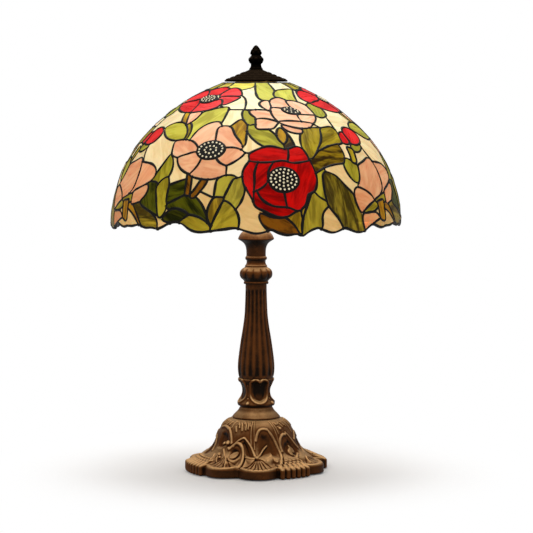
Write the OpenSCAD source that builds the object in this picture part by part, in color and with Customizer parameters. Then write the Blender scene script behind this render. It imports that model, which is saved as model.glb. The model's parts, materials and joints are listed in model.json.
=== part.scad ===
// Stained glass table lamp: a leaded glass dome on a cast column, with two pull-chain sockets.
// Origin at the centre of the underside, +Z up, the front towards -Y. Millimetres.

/* [Shade] */
// Outer radius of the glass dome at its widest
shade_r = 200; // [180:5:220]
// Height of the dome's widest line above the table
hem_z = 342; // [338:1:346]
// Thickness of the glass
glass_t = 3; // [2:0.5:4]
// Width of the solder between two panes
solder_w = 2.4; // [1.5:0.1:4]
// Number of times the flower pattern repeats round the dome
repeats = 3; // [3:1:4]

/* [Base] */
// Radius of the round part of the foot, inside its lobes
foot_r = 86; // [84:1:88]
// Height of the foot's edge
foot_h = 13; // [10:1:16]
// Thickness of the felt under the foot
felt_t = 1.5; // [1:0.5:3]
// Times the foot's lobes repeat round the base
foot_repeats = 2; // [2:1:3]

/* [Electrics] */
// Angle of the sockets above the horizontal
socket_tilt = 25; // [20:1:30]
// Distance of each pull chain from the lamp's axis
chain_x = 37; // [36.5:0.5:38]
// Height of the lower end of the right chain's bell
bell_right_z = 325.5; // [304:0.5:337]
// Height of the lower end of the left chain's bell
bell_left_z = 337; // [304:0.5:337]

/* [Hidden] */
$fn = 64;
LEFT = -1;
RIGHT = 1;
fit_gap = 0.05;          // between parts of one body that screw or press together
brass = "goldenrod";
bronze = "saddlebrown";
dark_bronze = "#2a221c";

// ---- curves and revolved outlines ----

function bezier(a, b, c, d, steps = 8) =
    [for (i = [0:steps]) let (t = i / steps, u = 1 - t)
        u * u * u * a + 3 * u * u * t * b + 3 * u * t * t * c + t * t * t * d];

// A solid of revolution with a round bore: outline is its outer side as [radius, height], upwards.
module turned(outline, bore_r) {
    bottom = outline[0][1];
    top = outline[len(outline) - 1][1];
    rotate_extrude() polygon(concat([[bore_r, bottom]], outline, [[bore_r, top]]));
}

// A hollow casting that slides over the pipe: hollow is the outline of the empty space inside it.
module casting(outline, hollow) color(bronze) difference() {
    turned(outline, pipe_hole_r);
    turned(hollow, 0);
}

module ring(inner_r, outer_r, z0, z1) {
    translate([0, 0, z0]) difference() {
        cylinder(r = outer_r, h = z1 - z0);
        translate([0, 0, -1]) cylinder(r = inner_r, h = z1 - z0 + 2);
    }
}

module hex_nut(across_flats, bore_r, z0, z1) {
    translate([0, 0, z0]) difference() {
        cylinder(r = across_flats / sqrt(3), h = z1 - z0, $fn = 6);
        translate([0, 0, -1]) cylinder(r = bore_r, h = z1 - z0 + 2);
    }
}

// ---- stand: pipe, base and column, stacked on the pipe and clamped by two nuts ----

pipe_r = 5;
pipe_bore_r = 3.5;
pipe_hole_r = 5.3;
pipe_z = [2, 349];
foot_top_z = felt_t + foot_h;
bell_r = 84;             // where the bell of the base rises from the foot
shoulder_z = 16;         // the ballast plate is pulled up against this step in the casting
ballast_r = 75;
ballast_t = 8;
collar_z = 73;           // base casting to column foot
shaft_z = [128, 259];
knop_z = [259, 283];
cup_z = [300, 334];
cord_z = 8;              // height of the cord's way out, in the foot's back edge
cord_y = 97.5;           // outer face of the bushing
cord_bore_r = 3.3;
bushing_r = 4.4;
bushing_collar_r = 5.2;
bushing_len = 20;

module lamp_pipe() color(brass) ring(pipe_bore_r, pipe_r, pipe_z[0], pipe_z[1]);

module felt_pad() color("darkgreen") cylinder(r = foot_r - 4, h = felt_t);

module pipe_nut() color("silver") hex_nut(17, pipe_r + fit_gap, 2.2, 6.5);

module pipe_washer() color("silver") ring(pipe_r + fit_gap, 11, 6.5, shoulder_z - ballast_t);

module ballast_plate() color("dimgray") difference() {
    ring(pipe_hole_r, ballast_r, shoulder_z - ballast_t, shoulder_z);
    translate([-7, ballast_r - 28, 0]) cube([14, 40, 40]);   // the cord passes here
}

// The foot's outline: a wide leaf lobe in the middle, then toes and a narrower lobe on either side, repeated.
module foot_outline() {
    circle(r = foot_r);
    for (i = [0:foot_repeats - 1]) rotate(i * 360 / foot_repeats) {
        rotate(2) translate([0, -74]) circle(r = 28);
        for (side = [-36, 67]) rotate(side) translate([0, -72]) circle(r = 27);
        for (toe = [0:5]) rotate(22 + 5 * toe) translate([0, -89.5]) circle(r = 7.5);
        for (toe = [0:6]) rotate(-57 - 5 * toe) translate([0, -89.5]) circle(r = 7.5);
    }
}

module base_casting() {
    bell = concat(
        [[bell_r - 2, foot_top_z - 4]],
        bezier([bell_r, foot_top_z], [70, 21], [62, 32], [56, 47]),
        bezier([56, 47], [52, 58], [46, 70], [33, collar_z])
    );
    cavity = concat(
        bezier([70, shoulder_z], [61, 24], [56, 33], [52, 44]),
        bezier([52, 44], [48, 55], [42, 67], [27, 68])
    );
    color(bronze) difference() {
        union() {
            translate([0, 0, felt_t]) linear_extrude(foot_h) foot_outline();
            turned(bell, 0);
        }
        translate([0, 0, felt_t - 1]) cylinder(r = ballast_r + 0.3, h = shoulder_z - felt_t + 1);
        translate([0, 0, -0.01]) turned(cavity, 0);
        cylinder(r = pipe_hole_r, h = 90);
        translate([0, 60, cord_z]) rotate([-90, 0, 0]) cylinder(r = bushing_r + fit_gap, h = 60);
        translate([0, cord_y - 2, cord_z]) rotate([-90, 0, 0]) cylinder(r = bushing_collar_r + 0.3, h = 20);
    }
}

module cord_bushing() color("black") translate([0, cord_y, cord_z]) rotate([90, 0, 0]) difference() {
    union() {
        cylinder(r = bushing_collar_r, h = 2);
        cylinder(r = bushing_r, h = bushing_len);
    }
    translate([0, 0, -1]) cylinder(r = cord_bore_r, h = bushing_len + 2);
}

module column_foot() casting(concat(
    [[32.6, collar_z], [33, 74.5]],
    bezier([33, 74.5], [31, 83], [23, 82], [22.6, 90]),
    bezier([22.6, 90], [25.6, 92], [26.2, 95], [24.6, 97]),
    bezier([24.6, 97], [18.6, 103], [17.6, 115], [23.6, 121.5]),
    [[24.4, 124.5], [24.4, shaft_z[0]]]
), [[18, 78], [18, 96], [14, 105], [14, 112], [18, 120], [18, 124]]);

module fluted_shaft() casting(concat(
    bezier([24.4, shaft_z[0]], [28.5, 156], [15, 192], [14.6, 254], steps = 12),
    [[14.6, shaft_z[1]]]
), bezier([20, 134], [22, 156], [11, 192], [10.4, 254], steps = 12));

module knop() casting(concat(
    [[16.4, knop_z[0]], [17, 262.5]],
    bezier([17, 262.5], [23.5, 267], [23.5, 277], [16, knop_z[1] - 2]),
    [[15.2, knop_z[1]]]
), bezier([11, 263], [17.5, 268], [17.5, 276], [11, 279]));

module neck() casting(concat(
    bezier([15, knop_z[1]], [12.6, 286], [12.8, 291], [13.8, 293]),
    bezier([13.8, 293], [15.4, 293.6], [15.4, 296.4], [13.8, 297]),
    [[13.4, cup_z[0]]]
), [[9.5, 287], [9.5, 296]]);

module vase_cup() casting(concat(
    bezier([13.4, cup_z[0]], [13.2, 313], [16.5, 317], [24, 322.5]),
    bezier([24, 322.5], [25, 324], [23.5, 327], [20, 331.5]),
    [[12, cup_z[1]]]
), concat([[9.5, 304]], bezier([9.5, 308], [10.5, 316], [14, 319], [19, 323]), [[17, 328]]));

module cup_nut() color(brass) hex_nut(17, pipe_r + fit_gap, cup_z[1], 339);

// ---- cluster and sockets ----

cluster_z = [343, 371];
cluster_mid = 357;
cluster_r = 13;
rod_r = 4;
rod_tip_r = 3;
nipple_r = 4;
shell_r = 19.5;
shell_t = 1.2;
shell_span = [28, 62];   // along the socket's own axis, from the cluster's centre
cap_start = 20;
insulator_r = 15.5;
thread_r = 13.3;         // an Edison screw of 27 mm

// Children stand on the socket's own axis, with its origin at the cluster's centre.
module on_socket(side) {
    translate([0, 0, cluster_mid]) rotate([0, 0, side == LEFT ? 180 : 0]) rotate([0, 90 - socket_tilt, 0])
        children();
}

module cluster_body() color(brass) difference() {
    translate([0, 0, cluster_z[0]]) cylinder(r = cluster_r, h = cluster_z[1] - cluster_z[0]);
    translate([0, 0, cluster_z[0] + 4]) cylinder(r = cluster_r - 3, h = 20);
    translate([0, 0, cluster_z[0] - 9]) cylinder(r = pipe_r + fit_gap, h = 20);
    translate([0, 0, cluster_z[0] + 11]) cylinder(r = rod_r + fit_gap, h = 30);
    for (side = [LEFT, RIGHT]) on_socket(side) cylinder(r = nipple_r + fit_gap, h = 30);
}

module rod_nut() color(brass) hex_nut(13, rod_r + fit_gap, cluster_z[1], 376);

module socket_nipples() color(brass) for (side = [LEFT, RIGHT])
    on_socket(side) ring(2.8, nipple_r, 10.5, 23);

module socket_cap(side) color(brass) on_socket(side) rotate_extrude() polygon([
    [nipple_r + fit_gap, cap_start], [8, cap_start], [shell_r, cap_start + 6], [shell_r, shell_span[0]],
    [shell_r - shell_t, shell_span[0]], [shell_r - shell_t, cap_start + 6.6],
    [7.5, cap_start + 1.5], [nipple_r + fit_gap, cap_start + 1.5]
]);

module socket_shell(side) color(brass) difference() {
    on_socket(side) ring(shell_r - shell_t, shell_r, shell_span[0], shell_span[1]);
    translate([side * chain_x, 0, 339]) cylinder(r = 3 + fit_gap, h = 18);
}

module socket_insulator(side) color("white") on_socket(side) difference() {
    union() {
        translate([0, 0, 33]) cylinder(r = insulator_r, h = 27);
        translate([0, 0, 46]) cylinder(r = shell_r - shell_t - fit_gap, h = 4);
    }
    translate([0, 0, 36]) cylinder(r = thread_r + 0.3, h = 40);
}

chain_top_z = 354;
bead_r = 1.5;
bead_step = 3.6;
bell_h = 6.4;

module chain_guide(side) color(brass) translate([side * chain_x, 0, 0]) ring(1.9, 3, 345, chain_top_z);

// Beads counted down from the switch's guide to the bell, joined by a thin wire.
module pull_chain(side, bell_z) {
    low_z = bell_z + bell_h;
    beads = floor((chain_top_z - low_z - bead_r) / bead_step);
    color("gold") translate([side * chain_x, 0, 0]) {
        for (i = [0:beads]) translate([0, 0, chain_top_z - bead_r - i * bead_step]) sphere(r = bead_r, $fn = 24);
        translate([0, 0, low_z - 3]) cylinder(r = 0.45, h = chain_top_z - bead_r - low_z + 3);
    }
}

module chain_bell(side, bell_z) color("gold") translate([side * chain_x, 0, bell_z]) difference() {
    rotate_extrude() polygon([[0, 0], [1.8, 0.3], [2.6, 1.6], [2.4, 3.2], [1.4, 4.6], [1.2, bell_h], [0, bell_h]]);
    translate([0, 0, bell_h - 3.2]) cylinder(r = 0.45 + fit_gap, h = 5);
}

// The button in the bottom of the socket that the bulb's base turns on.
module bulb_contact(side) color("silver") on_socket(side) translate([0, 0, 36]) cylinder(r = 4.5, h = 1);

module bulb_cap(side) color("silver") on_socket(side) {
    translate([0, 0, 37]) cylinder(r1 = 9, r2 = thread_r, h = 3);
    translate([0, 0, 40]) cylinder(r = thread_r, h = 20);
}

module bulb_glass(side) color("ivory") on_socket(side) rotate_extrude() polygon(concat(
    [[0, 60]],
    bezier([12.9, 60], [14, 74], [27.5, 80], [27.5, 100]),
    bezier([27.5, 100], [27.5, 118], [14, 127.5], [0, 127.5])
));

// ---- top of the rod: what the shade hangs on ----

rod_z = [364, 565];
rest_z = 529;            // the rod narrows here, and the support nut sits on the step
disc_z = [534, 536.5];
crown_r = 29;

module shade_rod() color(brass) {
    translate([0, 0, rod_z[0]]) cylinder(r = rod_r, h = rest_z - rod_z[0]);
    translate([0, 0, rest_z]) cylinder(r = rod_tip_r, h = rod_z[1] - rest_z);
}

module support_nut() color(brass) hex_nut(13, rod_tip_r + fit_gap, rest_z, disc_z[0]);

module support_disc() color(brass) difference() {
    ring(rod_tip_r + fit_gap, 27, disc_z[0], disc_z[1]);
    for (i = [0:5]) rotate(i * 60) translate([14, 0, disc_z[0] - 1]) cylinder(r = 4.5, h = 5);   // vents
}

module crown_ring() color(brass) rotate_extrude() polygon([
    [22, disc_z[1]], [crown_r - 0.3, disc_z[1]], [crown_r - 0.3, 540.5],
    [26, 540.5], [26, 544], [23.5, 544], [23.5, 539], [22, 539]
]);

// ---- glass dome: two arcs that meet smoothly, cut into rows and columns of panes ----

low_arc_r = shade_r - 18;
low_arc_c = [18, hem_z];
bend = 41.5;             // the angle above the horizontal at which the flatter arc takes over
high_arc_r = 265;
high_arc_c = low_arc_c + (low_arc_r - high_arc_r) * [cos(bend), sin(bend)];
bend_up = low_arc_r * bend * PI / 180;

// The dome's profile at a distance up the glass from its widest line, in mm, and a depth into the glass.
function dome_angle(up) = up < bend_up ? up / low_arc_r * 180 / PI : bend + (up - bend_up) / high_arc_r * 180 / PI;
function dome(up, depth = 0) = let (a = dome_angle(up), low = up < bend_up)
    (low ? low_arc_c : high_arc_c) + ((low ? low_arc_r : high_arc_r) - depth) * [cos(a), sin(a)];

pane_steps = 4;
row_up = [-6, 28, 62, 96, 130, 163, 196, 232, 276];
// One letter a pane, from left to right across one repeat: ivory, green, olive, amber, pink or red.
row_panes = ["OOOIAGOP", "PGOGRROP", "PGPIRRIP", "IPPPRGOI", "GGPAGIGR", "RGIPPI", "RRIGPR", "GGGI"];
rows = len(row_panes);

function columns(row) = repeats * len(row_panes[row]);
function rib_angle(row) = solder_w / dome((row_up[row] + row_up[row + 1]) / 2)[0] * 180 / PI;

module dome_band(up0, up1, steps) polygon(concat(
    [for (i = [0:steps]) dome(up0 + (up1 - up0) * i / steps)],
    [for (i = [steps:-1:0]) dome(up0 + (up1 - up0) * i / steps, glass_t)]
));

// The lowest row ends in a scallop under each pane.
scallop_r = 38;
module scallop() translate([0, 0, hem_z + row_up[0] + scallop_r]) rotate([0, 90, 0])
    cylinder(r = scallop_r, h = shade_r + 20, $fn = 96);

module pane(row, column) {
    pitch = 360 / columns(row);
    rib = rib_angle(row);
    rotate(-90 - 60 + column * pitch) intersection() {
        rotate(rib / 2) rotate_extrude(angle = pitch - rib)
            dome_band(row_up[row] + (row == 0 ? 0 : solder_w / 2), row_up[row + 1] - solder_w / 2, pane_steps);
        if (row == 0) rotate(pitch / 2) scallop();
    }
}

module panes(letter, shown) color(shown) for (row = [0:rows - 1], column = [0:columns(row) - 1])
    if (row_panes[row][column % len(row_panes[row])] == letter) pane(row, column);

module solder_rings() color("#151515") for (row = [1:rows]) {
    up = row_up[row];
    rotate_extrude() dome_band(up - solder_w / 2, up + solder_w / 2, 1);
}

module solder_ribs() color("#151515") for (row = [0:rows - 1], column = [0:columns(row) - 1]) {
    rib = rib_angle(row);
    low = row == 0 ? 8 : row_up[row] + solder_w / 2;
    rotate(-90 - 60 + column * 360 / columns(row) - rib / 2) rotate_extrude(angle = rib)
        dome_band(low, row_up[row + 1] - solder_w / 2, pane_steps);
}

// A stiffening wire soldered inside the dome, near its edge.
module hem_wire() color("darkgray") rotate_extrude()
    translate(dome(16, glass_t + 1.6)) circle(r = 1.5, $fn = 24);

// ---- cap and finial ----

washer_z = [553.2, 554.2];
finial_top = 588;

module heat_cap() color(dark_bronze) rotate_extrude() polygon([
    [rod_tip_r + 1.3, washer_z[0]], [9.8, washer_z[0]], [43.2, 539.3], [43.2, 537.9], [42.2, 538.2],
    [28, 543.9], [27.5, 544], [22.5, 544], [21, 546], [rod_tip_r + 1.3, 551]
]);

module finial_washer() color(brass) ring(rod_tip_r + 0.4, 8.5, washer_z[0], washer_z[1]);

insert_r = 4.6;
module finial() color(dark_bronze) difference() {
    rotate_extrude() polygon(concat(
        [[0, washer_z[1]]],
        bezier([9.6, washer_z[1]], [9, 556], [6.4, 558], [6.2, 560.6]),
        bezier([6.2, 560.6], [7, 563], [10.4, 564], [9.8, 568]),
        bezier([9.8, 568], [9.4, 571], [7.2, 573], [6.6, 574.6]),
        bezier([7.4, 576.4], [6.6, 580], [3.4, 585], [0, finial_top])
    ));
    translate([0, 0, washer_z[1] - 1]) cylinder(r = insert_r + fit_gap, h = 13);
}

module finial_insert() color(brass) ring(rod_tip_r + 0.06, insert_r, washer_z[1], 566);

// ---- nodes ----

felt_pad();
ballast_plate();
base_casting();
cord_bushing();
pipe_washer();
pipe_nut();
lamp_pipe();
column_foot();
fluted_shaft();
knop();
neck();
vase_cup();
cup_nut();
cluster_body();
rod_nut();
socket_nipples();
socket_cap(LEFT);  // socket_cap_left
socket_cap(RIGHT);  // socket_cap_right
socket_shell(LEFT);  // socket_shell_left
socket_shell(RIGHT);  // socket_shell_right
socket_insulator(LEFT);  // socket_insulator_left
socket_insulator(RIGHT);  // socket_insulator_right
chain_guide(LEFT);  // chain_guide_left
chain_guide(RIGHT);  // chain_guide_right
pull_chain(LEFT, bell_left_z);  // pull_chain_left
pull_chain(RIGHT, bell_right_z);  // pull_chain_right
chain_bell(LEFT, bell_left_z);  // chain_bell_left
chain_bell(RIGHT, bell_right_z);  // chain_bell_right
bulb_contact(LEFT);  // bulb_contact_left
bulb_contact(RIGHT);  // bulb_contact_right
bulb_cap(LEFT);  // bulb_cap_left
bulb_cap(RIGHT);  // bulb_cap_right
bulb_glass(LEFT);  // bulb_glass_left
bulb_glass(RIGHT);  // bulb_glass_right
shade_rod();
support_nut();
support_disc();
crown_ring();
panes("I", "wheat");  // ivory_panes
panes("G", "yellowgreen");  // green_panes
panes("O", "darkolivegreen");  // olive_panes
panes("A", "darkgoldenrod");  // amber_panes
panes("P", "lightsalmon");  // pink_panes
panes("R", "crimson");  // red_panes
solder_rings();
solder_ribs();
hem_wire();
heat_cap();
finial_washer();
finial();
finial_insert();
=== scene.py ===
"""Looks of a stained glass table lamp: flower-cut glass dome, cast bronze foot and column, filigree cap.

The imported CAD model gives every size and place. The glass is drawn flat, as a pattern of round outlines in
degrees round the dome and millimetres up the glass, cut into panes, and bent onto the dome. Rows of numbers in
the tables are points: an angle and a height up the glass, or an angle and a distance from the axis.
"""
import json
import math
import random

import bpy
import numpy as np
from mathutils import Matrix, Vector, noise
from mathutils.geometry import delaunay_2d_cdt
from mathutils.kdtree import KDTree


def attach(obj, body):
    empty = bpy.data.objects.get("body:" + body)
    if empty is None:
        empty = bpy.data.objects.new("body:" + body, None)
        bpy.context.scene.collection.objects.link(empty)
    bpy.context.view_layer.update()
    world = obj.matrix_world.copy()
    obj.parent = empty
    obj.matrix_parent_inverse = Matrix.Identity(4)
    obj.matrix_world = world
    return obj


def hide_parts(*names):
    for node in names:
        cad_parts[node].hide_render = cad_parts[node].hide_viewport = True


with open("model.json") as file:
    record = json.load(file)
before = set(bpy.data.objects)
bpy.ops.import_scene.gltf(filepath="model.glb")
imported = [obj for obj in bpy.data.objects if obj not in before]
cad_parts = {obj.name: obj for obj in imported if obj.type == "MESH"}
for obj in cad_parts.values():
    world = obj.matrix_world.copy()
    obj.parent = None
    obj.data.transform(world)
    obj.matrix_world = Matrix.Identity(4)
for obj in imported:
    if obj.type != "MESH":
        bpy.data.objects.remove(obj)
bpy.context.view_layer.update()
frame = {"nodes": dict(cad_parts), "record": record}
MM = 0.001

# ------------------------------------------------------------------ camera, floor and lights


def look_from(thing, place, aim):
    thing.location = place
    thing.rotation_euler = (Vector(aim) - Vector(place)).to_track_quat("-Z", "Y").to_euler()
    bpy.context.collection.objects.link(thing)


def add_camera():
    data = bpy.data.cameras.new("camera")
    data.sensor_width = 36.0
    data.lens = 146.8
    camera = bpy.data.objects.new("camera", data)
    look_from(camera, (0.0, -3.0, 0.5), (0.0144, 0.0, 0.283))
    bpy.context.scene.camera = camera


def add_area_light(name, place, aim, size, power, colour):
    data = bpy.data.lights.new(name, "AREA")
    data.shape = "RECTANGLE"
    data.size = data.size_y = size
    data.energy = power
    data.color = colour
    light = bpy.data.objects.new(name, data)
    look_from(light, place, aim)
    return light


def add_studio():
    add_area_light("key", (-1.0, -2.4, 1.8), (0, 0, 0.25), 1.4, 26, (1.0, 0.98, 0.95))
    add_area_light("fill", (2.2, -1.8, 1.0), (0, 0, 0.3), 1.8, 11, (1.0, 0.99, 0.97))
    add_area_light("top", (0.0, 0.3, 2.4), (0, 0, 0.3), 2.4, 62, (1.0, 1.0, 1.0))
    # stands in for the light that comes down through the glass of the shade
    through = add_area_light("through_glass", (0, 0, 0.352), (0, 0, 0), 0.3, 0.34, (1.0, 0.96, 0.9))
    through.visible_camera = False
    world = bpy.data.worlds.new("studio")
    world.use_nodes = True
    tree = world.node_tree
    lit, seen = tree.nodes["Background"], tree.nodes.new("ShaderNodeBackground")
    for shown, strength in ((lit, 0.26), (seen, 1.0)):
        shown.inputs["Color"].default_value = (1.0, 1.0, 1.0, 1.0)
        shown.inputs["Strength"].default_value = strength
    choose, path = tree.nodes.new("ShaderNodeMixShader"), tree.nodes.new("ShaderNodeLightPath")
    for source, socket in ((path.outputs["Is Camera Ray"], choose.inputs["Fac"]),
                           (lit.outputs["Background"], choose.inputs[1]),
                           (seen.outputs["Background"], choose.inputs[2]),
                           (choose.outputs["Shader"], tree.nodes["World Output"].inputs["Surface"])):
        tree.links.new(source, socket)
    bpy.context.scene.world = world
    bpy.context.scene.view_settings.view_transform = "Standard"


# ------------------------------------------------------------------ small helpers


def pairs(numbers):
    return list(zip(numbers[::2], numbers[1::2]))


def unit_rows(vectors):
    """Vectors along the last axis, each brought to length one."""
    return vectors / np.maximum(np.linalg.norm(vectors, axis=-1, keepdims=True), 1e-9)


def line_length(line, power=1.0):
    """The distance along a line to each of its points; a power under 1 evens out long and short steps."""
    return np.concatenate([[0], np.cumsum(np.linalg.norm(np.diff(line, axis=0), axis=1) ** power)])


def resampled(line, count):
    """The line as a number of evenly spaced points."""
    length = line_length(line)
    marks = np.linspace(0, length[-1], count)
    return np.stack([np.interp(marks, length, line[:, k]) for k in range(2)], axis=1)


def evenly(line, step):
    return resampled(line, max(2, int(round(line_length(line)[-1] / step)) + 1))


def hermite(t, size, a, b, start, end):
    """The place at t on a curve from a to b, with its directions at both ends."""
    return ((1 + 2 * t) * (1 - t) ** 2 * a + t * (1 - t) ** 2 * size * start
            + t * t * (3 - 2 * t) * b + t * t * (t - 1) * size * end)


def inside(x, y, outline):
    """Which places are inside a closed line of points."""
    hit = np.zeros(x.shape, bool)
    for (x0, y0), (x1, y1) in zip(outline, np.roll(outline, -1, axis=0)):
        if y0 != y1:
            hit ^= ((y0 > y) != (y1 > y)) & (x < (x1 - x0) * (y - y0) / (y1 - y0) + x0)
    return hit


def ease(x):
    x = np.clip(x, 0, 1)
    return x * x * (3 - 2 * x)


def srgb(r, g, b):
    """A colour given as 0 to 255 screen values, as linear light."""
    shares = (r / 255, g / 255, b / 255)
    return tuple(c / 12.92 if c <= 0.04045 else ((c + 0.055) / 1.055) ** 2.4 for c in shares)


def add_piece(name, points, faces, material, body, smooth=True):
    """A mesh object, riding on a body."""
    mesh = bpy.data.meshes.new(name)
    mesh.from_pydata([tuple(p) for p in points], [], faces)
    mesh.update()
    piece = bpy.data.objects.new(name, mesh)
    bpy.context.collection.objects.link(piece)
    mesh.materials.append(material)
    mesh.polygons.foreach_set("use_smooth", [smooth] * len(mesh.polygons))
    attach(piece, body)
    return piece


def keep_values(piece, name, kind, part, values):
    """A value at each point of the mesh, for its material."""
    layer = piece.data.attributes.new(name, kind, "POINT")
    layer.data.foreach_set(part, np.array(values, dtype=np.float32).ravel())


class Shader:
    """A Principled material with its nodes at hand."""

    def __init__(self, name):
        self.material = bpy.data.materials.new(name)
        self.material.use_nodes = True
        self.tree = self.material.node_tree
        self.surface = self.tree.nodes["Principled BSDF"]

    def plug(self, value, socket):
        if isinstance(value, bpy.types.NodeSocket):
            self.tree.links.new(value, socket)
        else:
            socket.default_value = value

    def node(self, kind, **settings):
        """A node with its inputs, or else its own settings, given by name."""
        made = self.tree.nodes.new(kind)
        for key, value in settings.items():
            label = key.replace("_", " ")
            if label in made.inputs:
                self.plug(value, made.inputs[label])
            else:
                setattr(made, key, value)
        return made

    def set(self, **values):
        for key, value in values.items():
            self.plug(value, self.surface.inputs[key.replace("_", " ")])

    def attribute(self, name, part="Color"):
        return self.node("ShaderNodeAttribute", attribute_name=name).outputs[part]

    def place(self):
        return self.node("ShaderNodeTexCoord").outputs["Object"]

    def scaled(self, vector, scale):
        return self.node("ShaderNodeMapping", Vector=vector, Scale=scale).outputs["Vector"]

    def noise(self, vector, scale, detail=3.0, rough=0.5, warp=0.0):
        return self.node("ShaderNodeTexNoise", Vector=vector, Scale=scale, Detail=detail, Roughness=rough,
                         Distortion=warp).outputs["Fac"]

    def remap(self, value, low, high, to_low=0.0, to_high=1.0):
        return self.node("ShaderNodeMapRange", interpolation_type="SMOOTHSTEP", Value=value, From_Min=low,
                         From_Max=high, To_Min=to_low, To_Max=to_high).outputs["Result"]

    def maths(self, operation, a, b):
        made = self.node("ShaderNodeMath", operation=operation)
        self.plug(a, made.inputs[0])
        self.plug(b, made.inputs[1])
        return made.outputs["Value"]

    def stirred(self, level, texture, amount):
        """A level moved up and down by a texture."""
        return self.maths("ADD", level, self.maths("MULTIPLY", self.maths("SUBTRACT", texture, 0.5), amount))

    def mix(self, factor, a, b):
        """A blend of two colours: sockets, four linear values, or three 0 to 255 screen values."""
        made = self.node("ShaderNodeMix", data_type="RGBA", Factor=factor)
        for value, socket in ((a, made.inputs[6]), (b, made.inputs[7])):
            on_screen = isinstance(value, tuple) and len(value) == 3
            self.plug((*srgb(*value), 1) if on_screen else value, socket)
        return made.outputs[2]

    def bump(self, height, strength, distance):
        self.set(Normal=self.node("ShaderNodeBump", Height=height, Strength=strength, Distance=distance)
                 .outputs["Normal"])


# ------------------------------------------------------------------ the dome's shape

GLASS_T = 3.0
LOW_R, HIGH_R, BEND = 182.0, 265.0, math.radians(41.5)
LOW_C = np.array([18.0, 342.0])
HIGH_C = LOW_C + (LOW_R - HIGH_R) * np.array([math.cos(BEND), math.sin(BEND)])
BEND_UP = LOW_R * BEND


def dome(up, depth=0.0):
    """Radius and height of the dome at a distance up the glass, at a depth into it. Millimetres."""
    up = np.asarray(up, float)
    low = up <= BEND_UP
    angle = np.where(low, up / LOW_R, BEND + (up - BEND_UP) / HIGH_R)
    reach = np.where(low, LOW_R, HIGH_R) - depth
    return (np.where(low, LOW_C[0], HIGH_C[0]) + reach * np.cos(angle),
            np.where(low, LOW_C[1], HIGH_C[1]) + reach * np.sin(angle))


def on_dome(degrees, up, depth=0.0):
    """Points of the dome in metres: degrees go round from the front, towards +X."""
    r, z = dome(up, depth)
    turn = np.radians(degrees)
    return np.stack([r * np.sin(turn), -r * np.cos(turn), z + 0 * turn], axis=-1) * MM


# ------------------------------------------------------------------ the glass pattern
# One repeat of the pattern, drawn from the back to the front: each shape is a glass colour and its outline.

REPEATS = 3
REPEAT_DEG = 360.0 / REPEATS
FLAT = 2.6  # millimetres that a degree takes in the flat drawing

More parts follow.
